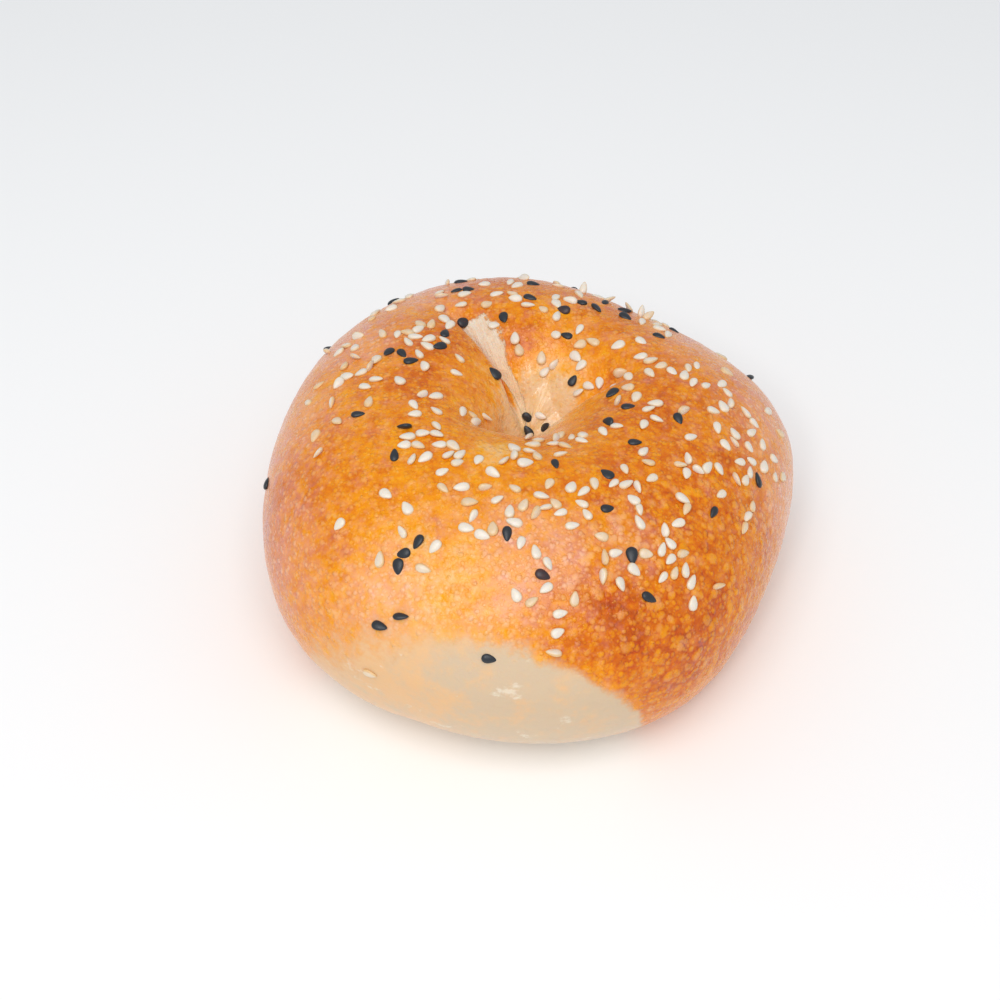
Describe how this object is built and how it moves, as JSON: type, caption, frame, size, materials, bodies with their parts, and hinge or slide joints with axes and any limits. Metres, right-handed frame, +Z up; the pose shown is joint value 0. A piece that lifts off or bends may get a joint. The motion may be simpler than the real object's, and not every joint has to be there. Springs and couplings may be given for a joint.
{
  "type": "sesame bagel",
  "caption": "Round baked bagel with a pinched navel in place of its hole, glossy golden crust and white and black sesame seeds on top.",
  "frame": {"origin": "centre of the bagel's outline, on the surface it rests on", "axes": "+Z up, -Y towards the side that the picture shows in front"},
  "size_m": [0.1079, 0.1113, 0.0512],
  "materials": {
    "crust": "glossy golden-brown baked crust, finely blistered, paler at the lower front and in the navel",
    "white_seeds": "ivory hulled sesame with a faint sheen",
    "black_seeds": "blue-charcoal sesame with a faint sheen"
  },
  "bodies": {
    "root": {"bagel": "crust"}
  },
  "joints": []
}
